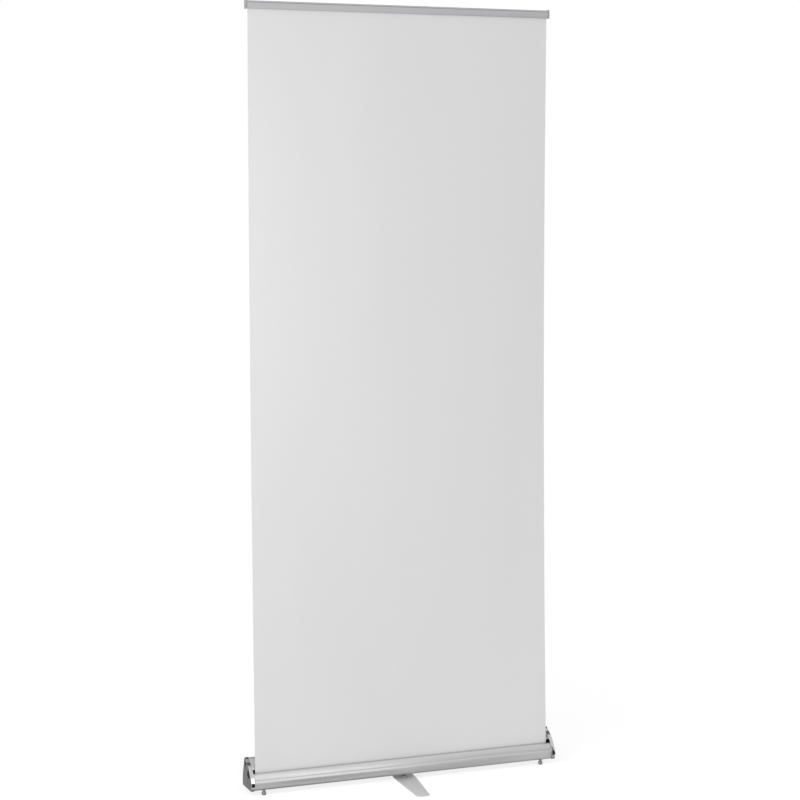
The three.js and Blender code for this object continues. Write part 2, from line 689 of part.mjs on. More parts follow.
const floorZ = baseZ + CASING_WALL;
const nutZ = floorZ + FIT;
const bulb = arc(
  0,
  LEVEL_BULB_CENTRE,
  LEVEL_BULB_RADIUS,
  -THREE.MathUtils.radToDeg(Math.asin(LEVEL_BULB_CENTRE / LEVEL_BULB_RADIUS)),
  THREE.MathUtils.radToDeg(Math.acos(LEVEL_STEM_RADIUS / LEVEL_BULB_RADIUS)),
  8,
);
for (const [name, x] of levelFeet) {
  add(`level_foot_${name}`, turned([
    [0, 0],
    ...bulb,
    [LEVEL_STEM_RADIUS, baseZ - FIT],
    [LEVEL_THREAD_RADIUS, baseZ - FIT],
    [LEVEL_THREAD_RADIUS, nutZ + LEVEL_NUT_HEIGHT + LEVEL_THREAD_ABOVE],
    [0, nutZ + LEVEL_NUT_HEIGHT + LEVEL_THREAD_ABOVE],
  ]), steel, [x, levelFootY, 0]);
  const nut = turned(rod(LEVEL_NUT_WIDTH / Math.sqrt(3), nutZ, nutZ + LEVEL_NUT_HEIGHT), 6);
  add(`level_nut_${name}`, cut(
    nut.rotateZ(Math.PI / 6),
    turned(rod(LEVEL_THREAD_RADIUS + FIT, 0, nutZ + LEVEL_NUT_HEIGHT + 1)),
  ), steel, [x, levelFootY, 0]);
}

export default stand;
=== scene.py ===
"""A roll-up banner stand in a plain white studio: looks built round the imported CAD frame."""

import json
import math

import bmesh
import bpy
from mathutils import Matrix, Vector


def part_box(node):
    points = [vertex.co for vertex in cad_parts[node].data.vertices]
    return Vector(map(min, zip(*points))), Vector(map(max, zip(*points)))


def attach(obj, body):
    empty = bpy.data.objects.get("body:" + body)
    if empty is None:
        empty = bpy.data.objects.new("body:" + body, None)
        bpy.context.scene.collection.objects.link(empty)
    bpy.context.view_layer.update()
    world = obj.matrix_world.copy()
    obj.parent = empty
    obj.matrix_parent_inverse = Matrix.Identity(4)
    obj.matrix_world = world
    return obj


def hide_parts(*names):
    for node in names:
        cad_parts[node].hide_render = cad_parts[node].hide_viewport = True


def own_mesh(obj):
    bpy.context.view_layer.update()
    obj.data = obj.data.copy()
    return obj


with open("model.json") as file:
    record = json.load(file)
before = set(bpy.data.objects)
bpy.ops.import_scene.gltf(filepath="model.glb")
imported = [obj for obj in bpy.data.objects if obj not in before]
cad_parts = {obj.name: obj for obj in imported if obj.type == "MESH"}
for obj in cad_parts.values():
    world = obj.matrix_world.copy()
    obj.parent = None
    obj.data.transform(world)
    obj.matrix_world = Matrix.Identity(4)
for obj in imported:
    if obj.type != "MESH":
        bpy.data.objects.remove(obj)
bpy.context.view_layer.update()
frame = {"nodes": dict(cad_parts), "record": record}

MM = 0.001


# ---------------------------------------------------------------- camera

def make_camera():
    """Stands to the left of the banner's face, at eye height, looking slightly down."""
    yaw, pitch = math.radians(21.51), math.radians(5.102)
    data = bpy.data.cameras.new("camera")
    data.lens = 94.049
    data.sensor_width = 36
    data.shift_y = -0.03
    data.clip_end = 100
    camera = bpy.data.objects.new("camera", data)
    camera.location = (-2.0541, -5.184, 1.5971)
    camera.rotation_euler = (math.pi / 2 - pitch, 0, -yaw)
    bpy.context.scene.collection.objects.link(camera)
    bpy.context.scene.camera = camera


make_camera()


# ---------------------------------------------------------------- sizes, from the frame

CASING_LOW, CASING_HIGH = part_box("cassette_body")
FRONT, REAR = CASING_LOW[1], CASING_HIGH[1]
BASE, FIN_TOP = CASING_LOW[2], CASING_HIGH[2]
CASING_END = CASING_HIGH[0]
BANNER_LOW, BANNER_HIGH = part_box("banner")
BANNER_HALF = BANNER_HIGH[0]
RAIL_LOW, RAIL_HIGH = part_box("rail_rear")
JAW_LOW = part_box("rail_front_jaw")[0]
MAST_LOW, MAST_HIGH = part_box("mast_lower")
MAST_Y = (MAST_LOW[1] + MAST_HIGH[1]) / 2

FIT = 0.3 * MM                       # gap between two pieces that touch or turn on each other
BANNER_THICKNESS = 0.4 * MM
SLOT_Y = BANNER_LOW[1] + BANNER_THICKNESS / 2
SLOT_Z = BASE + 42.2 * MM            # front lip of the slot
SLOT_HALF = 3.2 * MM
FIN_Y = 29.3 * MM
WALL = 1.6 * MM
BANNER_LEAN = 25.5 * MM              # how far the top edge stands behind the slot
BANNER_HEIGHT = RAIL_LOW[2] - SLOT_Z
CLAMP_Y = SLOT_Y + BANNER_LEAN       # plane in which the rail holds the banner

record = frame["record"]
BODY_OF = {node: body for body, nodes in record["behaviour"]["bodies"].items() for node in nodes}
SLOT_OF = {row["node"]: row["material_slot"] for row in record["subparts"]}


# ---------------------------------------------------------------- materials

def linear(colour):
    """An sRGB hex colour as linear RGBA."""
    channels = [int(colour[i:i + 2], 16) / 255 for i in (1, 3, 5)]
    return [c / 12.92 if c <= 0.04045 else ((c + 0.055) / 1.055) ** 2.4 for c in channels] + [1]


def per(size_mm):
    """The scale of a pattern whose features are this many millimetres apart."""
    return 1 / (size_mm * MM)


def add(tree, kind, inputs=None, **settings):
    """A node with its settings, and its values and links by the name or number of the socket."""
    made = tree.nodes.new(kind)
    for name, value in settings.items():
        setattr(made, name, value)
    for name, value in (inputs or {}).items():
        if isinstance(value, bpy.types.NodeSocket):
            tree.links.new(value, made.inputs[name])
        else:
            made.inputs[name].default_value = value
    return made


def new_material(name, **fixed):
    """A material with one Principled shader, and its constants on the shader's own sockets."""
    made = bpy.data.materials.new(name)
    made.use_nodes = True
    tree = made.node_tree
    shader = tree.nodes["Principled BSDF"]
    for socket, value in fixed.items():
        shader.inputs[socket.replace("_", " ")].default_value = value
    place = add(tree, "ShaderNodeTexCoord").outputs["Object"]
    return made, tree, shader, place


def stretched(tree, place, scale):
    """Object coordinates scaled by a different amount along each axis."""
    return add(tree, "ShaderNodeMapping", {"Vector": place, "Scale": scale}).outputs["Vector"]


def ramp(tree, factor, low, high):
    """A value's range 0.3 to 0.7 stretched to run from low to high."""
    inputs = {"Value": factor, "From Min": 0.3, "From Max": 0.7, "To Min": low, "To Max": high}
    return add(tree, "ShaderNodeMapRange", inputs).outputs["Result"]


def blend_colours(tree, factor, first, second):
    """A colour between two. A mix node gives several sockets one name, so they go by number."""
    inputs = {0: factor, 6: linear(first), 7: linear(second)}
    return add(tree, "ShaderNodeMix", inputs, data_type="RGBA").outputs[2]


def relief(tree, shader, height, strength, depth_mm):
    """Bump from a height pattern, with its depth in millimetres."""
    inputs = {"Height": height, "Strength": strength, "Distance": depth_mm * MM}
    bump = add(tree, "ShaderNodeBump", inputs)
    tree.links.new(bump.outputs["Normal"], shader.inputs["Normal"])


def anodised_aluminium(name, along, dark, light):
    """Extruded aluminium with a satin anodised skin: a broad soft shine, drawn out across die lines
    that run with the extrusion. The lines are drawn a few times coarser than real ones."""
    made, tree, shader, place = new_material(name, Metallic=1.0, Anisotropic=0.35)
    fine, long = per(0.6), per(160)
    scale = [long if axis == along else fine for axis in "XYZ"]
    lines = add(tree, "ShaderNodeTexNoise", {
        "Vector": stretched(tree, place, scale), "Scale": 1.0, "Detail": 4.0, "Roughness": 0.6,
    }).outputs["Fac"]
    cloud = add(tree, "ShaderNodeTexNoise", {
        "Vector": place, "Scale": per(70), "Detail": 3.0,
    }).outputs["Fac"]
    colour = blend_colours(tree, ramp(tree, lines, 0, 1), dark, light)
    tree.links.new(colour, shader.inputs["Base Color"])
    tree.links.new(ramp(tree, cloud, 0.38, 0.46), shader.inputs["Roughness"])
    relief(tree, shader, lines, 0.25, 0.02)
    return made


def drawn_aluminium(name, along):
    """Drawn aluminium tube, plain satin: long draw lines, coarser than real, in an uneven shine."""
    made, tree, shader, place = new_material(name, Metallic=1.0)
    scale = [per(300) if axis == along else per(0.9) for axis in "XYZ"]
    lines = add(tree, "ShaderNodeTexNoise", {
        "Vector": stretched(tree, place, scale), "Scale": 1.0, "Detail": 5.0,
    }).outputs["Fac"]
    colour = blend_colours(tree, lines, "#B8B8BA", "#CCCCCE")
    tree.links.new(colour, shader.inputs["Base Color"])
    tree.links.new(ramp(tree, lines, 0.3, 0.42), shader.inputs["Roughness"])
    relief(tree, shader, lines, 0.3, 0.03)
    return made


def plated_moulding(name):
    """Chrome-plated ABS, as moulded: a bright mirror with a faint ripple from the mould."""
    made, tree, shader, place = new_material(name, Metallic=1.0)
    ripple = add(tree, "ShaderNodeTexNoise", {
        "Vector": place, "Scale": per(9), "Detail": 2.0,
    }).outputs["Fac"]
    smear = add(tree, "ShaderNodeTexNoise", {
        "Vector": place, "Scale": per(3), "Detail": 4.0,
    }).outputs["Fac"]
    colour = blend_colours(tree, smear, "#CCCCCE", "#D8D8DA")
    tree.links.new(colour, shader.inputs["Base Color"])
    tree.links.new(ramp(tree, smear, 0.06, 0.14), shader.inputs["Roughness"])
    relief(tree, shader, ripple, 0.35, 0.12)
    return made


def moulded_plastic(name, dark, light, roughness, grain_mm, depth_mm):
    """Moulded ABS or nylon: dull and even, with the grain of a spark-eroded mould, drawn coarser."""
    made, tree, shader, place = new_material(name, Metallic=0.0, IOR=1.53)
    grain = add(tree, "ShaderNodeTexNoise", {
        "Vector": place, "Scale": per(grain_mm), "Detail": 6.0, "Roughness": 0.65,
    }).outputs["Fac"]
    cloud = add(tree, "ShaderNodeTexNoise", {
        "Vector": place, "Scale": per(14), "Detail": 2.0,
    }).outputs["Fac"]
    colour = blend_colours(tree, cloud, dark, light)
    tree.links.new(colour, shader.inputs["Base Color"])
    tree.links.new(ramp(tree, grain, roughness - 0.06, roughness + 0.06), shader.inputs["Roughness"])
    relief(tree, shader, grain, 0.5, depth_mm)
    return made


def zinc_plated_steel(name):
    """Turned or pressed steel with bright zinc plating: cloudy patches in the shine."""
    made, tree, shader, place = new_material(name, Metallic=1.0)
    cloud = add(tree, "ShaderNodeTexNoise", {
        "Vector": place, "Scale": per(4), "Detail": 5.0,
    }).outputs["Fac"]
    colour = blend_colours(tree, cloud, "#8E8E90", "#AAAAAC")
    tree.links.new(colour, shader.inputs["Base Color"])
    tree.links.new(ramp(tree, cloud, 0.18, 0.32), shader.inputs["Roughness"])
    relief(tree, shader, cloud, 0.2, 0.02)
    return made


def silver_powder_coat(name):
    """Silver powder coat on steel: a pale sheen with a fine orange peel and tiny metal flakes."""
    made, tree, shader, place = new_material(
        name, Metallic=0.3, Coat_Weight=0.2, Coat_Roughness=0.3,
    )
    peel = add(tree, "ShaderNodeTexNoise", {
        "Vector": place, "Scale": per(1.6), "Detail": 3.0,
    }).outputs["Fac"]
    flake = add(tree, "ShaderNodeTexVoronoi", {"Vector": place, "Scale": per(0.5)}).outputs["Distance"]
    colour = blend_colours(tree, flake, "#CFCFD0", "#DEDEDF")
    tree.links.new(colour, shader.inputs["Base Color"])
    tree.links.new(ramp(tree, peel, 0.34, 0.46), shader.inputs["Roughness"])
    relief(tree, shader, peel, 0.3, 0.05)
    return made


def coated_film(name, shade, tint):
    """Blank polyester film with a matt print coat: flat and pale, with a grain coarser than real."""
    made, tree, shader, place = new_material(
        name, Metallic=0.0, IOR=1.5, Sheen_Weight=0.08, Sheen_Roughness=0.5,
    )
    weave = add(tree, "ShaderNodeTexNoise", {
        "Vector": stretched(tree, place, [per(0.9), per(0.9), per(1.4)]), "Scale": 1.0, "Detail": 4.0,
    }).outputs["Fac"]
    cloud = add(tree, "ShaderNodeTexNoise", {
        "Vector": stretched(tree, place, [per(240), per(240), per(900)]), "Scale": 1.0, "Detail": 2.0,
    }).outputs["Fac"]
    colour = blend_colours(tree, cloud, shade, tint)
    tree.links.new(colour, shader.inputs["Base Color"])
    tree.links.new(ramp(tree, weave, 0.55, 0.66), shader.inputs["Roughness"])
    relief(tree, shader, weave, 0.15, 0.02)
    return made


ANODISED = anodised_aluminium("anodised_extrusion", "X", "#D2D2D3", "#DEDEDF")
# The top rail gets a darker copy of the anodised finish: painted shade, standing in for the dimmer
# surroundings its upright faces mirror.
RAIL_ANODISED_SHADED = anodised_aluminium("rail_anodised_painted_shade", "X", "#C8C8CA", "#D2D2D4")
TUBE = drawn_aluminium("drawn_tube", "Z")
ROLLER_TUBE = drawn_aluminium("drawn_roller_tube", "X")
BRIGHT = plated_moulding("plated_abs")
GREY = moulded_plastic("grey_abs", "#98989A", "#A4A4A6", 0.35, 0.5, 0.03)
DARK = moulded_plastic("dark_grey_abs", "#5F5F61", "#6A6A6C", 0.5, 0.5, 0.04)
BLACK = moulded_plastic("black_nylon", "#161617", "#1D1D1F", 0.5, 0.6, 0.04)
NATURAL = moulded_plastic("natural_nylon", "#DCDCDA", "#E6E6E4", 0.42, 0.8, 0.03)
RUBBER = moulded_plastic("black_rubber", "#1B1B1D", "#252528", 0.8, 1.0, 0.08)
ZINC = zinc_plated_steel("zinc_plated_steel")
POWDER = silver_powder_coat("silver_powder_coat")
FILM = coated_film("coated_banner_film", "#D3D3D3", "#D8D8D8")
LEADER = coated_film("leader_film", "#D2D2D2", "#DADADA")

# The finish of each material slot.
SLOT_MATERIALS = {
    "anodised": ANODISED,
    "bright_cap": BRIGHT,
    "dark_cover": DARK,
    "mast_tube": TUBE,
    "steel": ZINC,
    "foot_metal": POWDER,
    "black_plastic": BLACK,
    "nylon": NATURAL,
    "rubber": RUBBER,
    "film": FILM,
    "leader": LEADER,
}

# Nodes that look different from the rest of their slot.
OWN_FINISH = {
    "roller_tube": ROLLER_TUBE,
    # Both rail halves take the darker anodised copy, which is painted shade.
    "rail_rear": RAIL_ANODISED_SHADED,
    "rail_front_jaw": RAIL_ANODISED_SHADED,
    "rail_cap_left": GREY,
    "rail_cap_right": GREY,
}


def finish_of(node):
    """A node's own finish if it has one, otherwise that of its material slot."""
    return OWN_FINISH.get(node, SLOT_MATERIALS[SLOT_OF[node]])


def finish_cad_nodes():
    for name, obj in frame["nodes"].items():
        obj.data.materials.clear()
        obj.data.materials.append(finish_of(name))


finish_cad_nodes()


# ---------------------------------------------------------------- mesh helpers

def smooth_curve(points, steps):
    """Points on a curve that passes through every given point."""
    made = []
    last = len(points) - 1
    for i in range(steps + 1):
        place = i * last / steps
        k = min(int(place), last - 1)
        t = place - k
        p0, p1, p2, p3 = (points[min(max(k + j, 0), last)] for j in (-1, 0, 1, 2))
        made.append(tuple(
            0.5 * (2 * b + (c - a) * t + (2 * a - 5 * b + 4 * c - d) * t ** 2
                   + (3 * b - a - 3 * c + d) * t ** 3)
            for a, b, c, d in zip(p0, p1, p2, p3)
        ))
    return made


def inset(points, distance, closed=True):
    """An outline moved to its left, keeping the distance along each side."""
    count = len(points)
    made = []
    for i, (u, v) in enumerate(points):
        sides = []
        if closed or i > 0:
            sides.append((points[i - 1], (u, v)))
        if closed or i < count - 1:
            sides.append(((u, v), points[(i + 1) % count]))
        lefts = []
        for (au, av), (bu, bv) in sides:
            length = math.hypot(bu - au, bv - av)
            lefts.append(((av - bv) / length, (bu - au) / length))
        first, last = lefts[0], lefts[-1]
        reach = distance / (1 + first[0] * last[0] + first[1] * last[1])
        made.append((u + (first[0] + last[0]) * reach, v + (first[1] + last[1]) * reach))
    return made


def arc(centre_u, centre_v, radius, start, stop, steps):
    """Points round a centre, from one angle to another in degrees."""
    angles = [math.radians(start + (stop - start) * i / steps) for i in range(steps + 1)]
    return [(centre_u + radius * math.cos(a), centre_v + radius * math.sin(a)) for a in angles]


def new_piece(name, bm, body, material):
    bmesh.ops.recalc_face_normals(bm, faces=bm.faces)
    mesh = bpy.data.meshes.new(name)
    bm.to_mesh(mesh)
    bm.free()
    obj = bpy.data.objects.new(name, mesh)
    bpy.context.scene.collection.objects.link(obj)
    mesh.materials.append(material)
    if body:
        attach(obj, body)
    return obj


def stand_in(name, bm, node):
    """A fine piece that takes a CAD node's place: it moves and is finished as that node is."""
    obj = new_piece(name, bm, BODY_OF[node], finish_of(node))
    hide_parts(node)
    return obj


def loft(outline, stations, axis="X"):
    """A closed body with one section for each station (place along the axis, inset), and flat ends."""
    bm = bmesh.new()
    rings = []
    for place, depth in stations:
        section = inset(outline, depth) if depth else outline
        if axis == "X":
            rings.append([bm.verts.new((place, u, v)) for u, v in section])
        else:
            rings.append([bm.verts.new((u, v, place)) for u, v in section])
    for near, far in zip(rings, rings[1:]):
        for i in range(len(near)):
            bm.faces.new((near[i - 1], near[i], far[i], far[i - 1]))
    bm.faces.new(rings[0])
    bm.faces.new(rings[-1])
    return bm


def turned(profile, x, y, sides=48):
    """A section of (radius, height) points turned about an upright line. A tube's section is a loop."""
    bm = bmesh.new()
    rings = []
    for radius, z in profile:
        if rings and (radius, z) == profile[0]:
            rings.append(rings[0])
        elif radius == 0:
            rings.append([bm.verts.new((x, y, z))] * sides)
        else:
            spots = arc(x, y, radius, 0, 360, sides)[:-1]
            rings.append([bm.verts.new((px, py, z)) for px, py in spots])
    for near, far in zip(rings, rings[1:]):
        for i in range(sides):
            corners = dict.fromkeys((near[i - 1], near[i], far[i], far[i - 1]))
            bm.faces.new(tuple(corners))
    return bm


def soften(obj, angle=35):
    """Smooth shading, with edges sharper than the angle kept crisp."""
    for face in obj.data.polygons:
        face.use_smooth = True
    obj.data.set_sharp_from_angle(angle=math.radians(angle))


def round_edges(obj, width_mm, segments=2, angle=35):
    bevel = obj.modifiers.new("edges", "BEVEL")
    bevel.width = width_mm * MM
    bevel.segments = segments
    bevel.limit_method = "ANGLE"
    bevel.angle_limit = math.radians(angle)
    bevel.harden_normals = False


def bake_modifiers(obj):
    """Puts the result of the modifiers into the mesh."""
    bpy.context.view_layer.update()
    result = obj.evaluated_get(bpy.context.evaluated_depsgraph_get())
    mesh = bpy.data.meshes.new_from_object(result)
    old = obj.data
    obj.modifiers.clear()
    obj.data = mesh
    bpy.data.meshes.remove(old)


def cut_with(obj, bm):
    """Takes the shape of another body out of a piece."""
    cutter = new_piece("cutter", bm, None, obj.data.materials[0])
    hole = obj.modifiers.new("hole", "BOOLEAN")
    hole.operation = "DIFFERENCE"
    hole.solver = "EXACT"
    hole.object = cutter
    bake_modifiers(obj)
    bpy.data.objects.remove(cutter)


# ---------------------------------------------------------------- casing

def casing_outline():
    """The outer skin from the slot's front lip, down the front, under and up to the rear lip."""
    lip = smooth_curve([
        (SLOT_Y - SLOT_HALF, SLOT_Z - 0.6 * MM),
        (SLOT_Y - SLOT_HALF - 0.9 * MM, SLOT_Z),
        (SLOT_Y - SLOT_HALF - 3 * MM, SLOT_Z - 1.2 * MM),
        (SLOT_Y - SLOT_HALF - 5.6 * MM, SLOT_Z - 3.8 * MM),
        (SLOT_Y - SLOT_HALF - 9.4 * MM, SLOT_Z - 9.4 * MM),
        (SLOT_Y - 15 * MM, SLOT_Z - 14.8 * MM),
    ], 18)
    front = smooth_curve([
        (SLOT_Y - 15.2 * MM, SLOT_Z - 14.9 * MM),
        (SLOT_Y - 17.4 * MM, SLOT_Z - 16 * MM),
        (FRONT + 2.2 * MM, SLOT_Z - 18.4 * MM),
        (FRONT + 0.5 * MM, BASE + 19.5 * MM),
        (FRONT, BASE + 14.5 * MM),
        (FRONT + 1.2 * MM, BASE + 6 * MM),
        (FRONT + 3.2 * MM, BASE + 2.4 * MM),
        (FRONT + 6.5 * MM, BASE),
    ], 42)
    rear = smooth_curve([
        (REAR - 5 * MM, BASE),
        (REAR - 1.4 * MM, BASE + 1.6 * MM),
        (REAR, BASE + 6 * MM),
        (REAR - 2 * MM, SLOT_Z - 14 * MM),
        (REAR - 8 * MM, SLOT_Z + 17 * MM),
        (FIN_Y + 5.8 * MM, FIN_TOP - 6.5 * MM),
    ], 30)
    fin = smooth_curve([
        (FIN_Y + 5.8 * MM, FIN_TOP - 6.5 * MM),
        (FIN_Y + 3.4 * MM, FIN_TOP - 1.4 * MM),
        (FIN_Y, FIN_TOP),
        (FIN_Y - 3.6 * MM, FIN_TOP - 1.9 * MM),
    ], 16)
    return lip + front + rear + fin[1:] + [(SLOT_Y + SLOT_HALF + 0.3 * MM, SLOT_Z + 9 * MM)]


def make_casing():
    outer = casing_outline()
    band = outer + inset(outer, WALL, closed=False)[::-1]
    ends = [(-CASING_END, 0), (CASING_END, 0)]
    shell = stand_in("cassette_shell", loft(band, ends), "cassette_body")
    socket_low, socket_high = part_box("mast_socket")
    radius = (socket_high[0] - socket_low[0]) / 2 + FIT
    low, high = socket_low[2] - FIT, FIN_TOP + 10 * MM
    cut_with(shell, turned([(0, low), (radius, low), (radius, high), (0, high)], 0, MAST_Y))
    round_edges(shell, 0.3)
    bake_modifiers(shell)
    soften(shell, 40)


make_casing()


# ---------------------------------------------------------------- end caps and covers

CAP_RIM = 1.4 * MM                   # width of the bright rim round the cover
CAP_ROUNDING = 0.7 * MM
COVER_EDGE = 0.4 * MM
SCOOP_Y, SCOOP_Z = SLOT_Y + 1.5 * MM, SLOT_Z - 1.5 * MM
SCOOP_RADIUS = 11 * MM
KEYHOLE_Y, KEYHOLE_Z = FIN_Y - 8 * MM, FIN_TOP - 15 * MM
KEYHOLE_RADIUS = 6.5 * MM


def cap_outline():
    """The cap's side view, a little larger than the casing all round."""
    return smooth_curve([
        (FRONT + 2.5 * MM, BASE - 0.4 * MM),
        (FRONT - 2.5 * MM, BASE + 7 * MM),
        (FRONT - 3.8 * MM, BASE + 17 * MM),
        (FRONT - 0.5 * MM, SLOT_Z - 15 * MM),
        (SLOT_Y - 14 * MM, SLOT_Z - 1 * MM),
        (SLOT_Y - 4 * MM, SLOT_Z + 10 * MM),
        (SLOT_Y + 6 * MM, SLOT_Z + 19.5 * MM),
        (SLOT_Y + 19 * MM, SLOT_Z + 27.5 * MM),
        (FIN_Y - 7 * MM, FIN_TOP - 2 * MM),
        (FIN_Y + 0.8 * MM, FIN_TOP + 1.2 * MM),
        (FIN_Y + 6.2 * MM, FIN_TOP - 5 * MM),
        (REAR - 7 * MM, SLOT_Z + 16.6 * MM),
        (REAR + 1 * MM, SLOT_Z - 14 * MM),
        (REAR + 2 * MM, BASE + 6 * MM),
        (REAR - 3 * MM, BASE - 0.4 * MM),
    ], 112)[::-1]


def make_cap(name, side):
    """A cap with a bright rim round a pocket, and the dark cover that sits in the pocket. The pocket's
    floor is painted black: painted shade, seen through the cover's scoop and keyhole.
    """
    low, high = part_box(f"end_cap_{name}")
    cover_low, cover_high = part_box(f"end_cover_{name}")
    inner = CASING_END + FIT
    outer = max(abs(low[0]), abs(high[0]))
    floor = min(abs(cover_low[0]), abs(cover_high[0])) - FIT
    face = max(abs(cover_low[0]), abs(cover_high[0]))
    chamfer, lip = 0.3 * MM, 0.1 * MM
    stations = [(inner, chamfer), (inner + chamfer, 0)]
    for u, v in arc(0, 0, CAP_ROUNDING, 0, 90, 6):
        stations.append((outer - CAP_ROUNDING + v, CAP_ROUNDING - u))
    stations += [(outer, CAP_RIM - lip), (outer - lip, CAP_RIM), (floor, CAP_RIM)]
    body = loft(cap_outline(), [(side * x, depth) for x, depth in stations])
    ring = stand_in(f"cap_rim_{name}", body, f"end_cap_{name}")
    # The pocket's floor takes the black finish: painted shade for the dark inside of the scoop and
    # keyhole.
    ring.data.materials.append(BLACK)
    for polygon in ring.data.polygons:
        if math.isclose(abs(polygon.center[0]), floor, abs_tol=0.01 * MM):
            polygon.material_index = 1
    soften(ring, 35)

    reach, bend = CAP_RIM + FIT, COVER_EDGE * 0.3
    body = loft(cap_outline(), [
        (side * (floor + FIT), reach),
        (side * (face - COVER_EDGE), reach),
        (side * (face - bend), reach + bend),
        (side * face, reach + COVER_EDGE),
    ])
    plate = stand_in(f"cap_cover_{name}", body, f"end_cover_{name}")
    margin = 1 * MM
    through = [(side * (floor - margin), 0), (side * (face + margin), 0)]
    scoop = arc(SCOOP_Y, SCOOP_Z, SCOOP_RADIUS, 0, 360, 56)[:-1]
    keyhole = arc(KEYHOLE_Y, KEYHOLE_Z, KEYHOLE_RADIUS, 0, 360, 40)[:-1]
    for hole in (scoop, keyhole):
        cut_with(plate, loft(hole, through))
    soften(plate, 35)


for end_name, end_side in (("left", -1), ("right", 1)):
    make_cap(end_name, end_side)


# ---------------------------------------------------------------- banner

RIGHT_CURL, RIGHT_CURL_WIDTH = 8 * MM, 330 * MM
LEFT_CURL, LEFT_CURL_WIDTH = 1.5 * MM, 200 * MM
SLACK = 0.5 * MM                     # depth of the soft waves in the film
WAVES_ACROSS = 9                     # radians per metre


def banner_back(x, z):
    """How far back the film stands: upright in the casing, then bowed, with curled sides and slack."""
    t = min(max((z - SLOT_Z) / BANNER_HEIGHT, 0), 1)
    near_right = max(0, 1 - (BANNER_HALF - x) / RIGHT_CURL_WIDTH) ** 2
    near_left = max(0, 1 - (BANNER_HALF + x) / LEFT_CURL_WIDTH) ** 2
    swell = math.sin(math.pi * t)
    bow = BANNER_LEAN * (1 - (1 - t) ** 2)
    curl = RIGHT_CURL * swell * near_right + LEFT_CURL * swell * near_left
    slack = SLACK * swell * math.sin(WAVES_ACROSS * x + 2.2) * math.sin(2 * math.pi * t + 0.6)
    return SLOT_Y + bow + curl + slack


def make_banner():
    """A thin closed sheet, from the rail down through the slot to the roller."""
    across, up = 84, 200
    bm = bmesh.new()
    sides = []
    for face in (-0.5, 0.5):
        rows = []
        for j in range(up + 1):
            z = BANNER_LOW[2] + (BANNER_HIGH[2] - BANNER_LOW[2]) * j / up
            row = []
            for i in range(across + 1):
                x = BANNER_HALF * (2 * i / across - 1)
                row.append(bm.verts.new((x, banner_back(x, z) + face * BANNER_THICKNESS, z)))
            rows.append(row)
        sides.append(rows)
        for j in range(up):
            for i in range(across):
                bm.faces.new((rows[j][i], rows[j][i + 1], rows[j + 1][i + 1], rows[j + 1][i]))
    front, back = sides
    for j in range(up):
        for i in (0, across):
            bm.faces.new((front[j][i], front[j + 1][i], back[j + 1][i], back[j][i]))
    for i in range(across):
        for j in (0, up):
            bm.faces.new((front[j][i], front[j][i + 1], back[j][i + 1], back[j][i]))
    film = stand_in("banner_film", bm, "banner")
    soften(film, 50)
    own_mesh(film)


make_banner()


# ---------------------------------------------------------------- top rail

BARREL = 3.4 * MM                    # outside of the groove that holds the jaw's bead
BEAD = 1.8 * MM
BEAD_Y = RAIL_LOW[1] + BARREL
BEAD_Z = RAIL_HIGH[2] - BARREL
CLAMP_GAP = BANNER_THICKNESS / 2 + FIT


def rail_back_outline():
    """The rear half, with a groove along its back and the round seat of the jaw's bead."""
    rear, low, top = RAIL_HIGH[1], RAIL_LOW[2], RAIL_HIGH[2]
    depth, groove_low, groove_top = 2.6 * MM, low + 6 * MM, low + 10 * MM
    foot, shoulder = 0.5 * MM, 2 * MM
    return [
        *arc(rear - foot, low + foot, foot, -90, 0, 4),
        (rear, groove_low),
        (rear - depth, groove_low),
        (rear - depth, groove_top),
        (rear, groove_top),
        *arc(rear - shoulder, top - shoulder, shoulder, 0, 90, 8),
        *arc(BEAD_Y, BEAD_Z, BARREL, 90, 180, 14),
        *arc(BEAD_Y, BEAD_Z, BEAD + FIT, 180, -55, 24),
        (CLAMP_Y + CLAMP_GAP, BEAD_Z - BARREL),
        (CLAMP_Y + CLAMP_GAP, low),
    ]


def rail_front_outline():
    """The front jaw: a plate with a bead on a neck, which turns in the rear half's seat."""
    front, low = JAW_LOW[1], JAW_LOW[2]
    back = CLAMP_Y - CLAMP_GAP
    neck, clear = 0.7 * MM, BARREL + FIT
    turn = math.degrees(math.asin(neck / clear))
    reach = math.degrees(math.acos((front - BEAD_Y) / clear))
    neck_z = BEAD_Z - math.sqrt(BEAD ** 2 - neck ** 2)
    corner, relieved = 0.8 * MM, back - 1.4 * MM
    return [
        *arc(front + corner, low + corner, corner, 180, 270, 6),
        (back, low),
        (back, low + 3.4 * MM),
        (relieved, low + 4.4 * MM),
        (relieved, BEAD_Z - clear - 1 * MM),
        (BEAD_Y + neck, BEAD_Z - clear),
        (BEAD_Y + neck, neck_z),
        *arc(BEAD_Y, BEAD_Z, BEAD, -60, 240, 28),
        (BEAD_Y - neck, neck_z),
        *arc(BEAD_Y, BEAD_Z, clear, -90 - turn, -reach, 8),
    ]


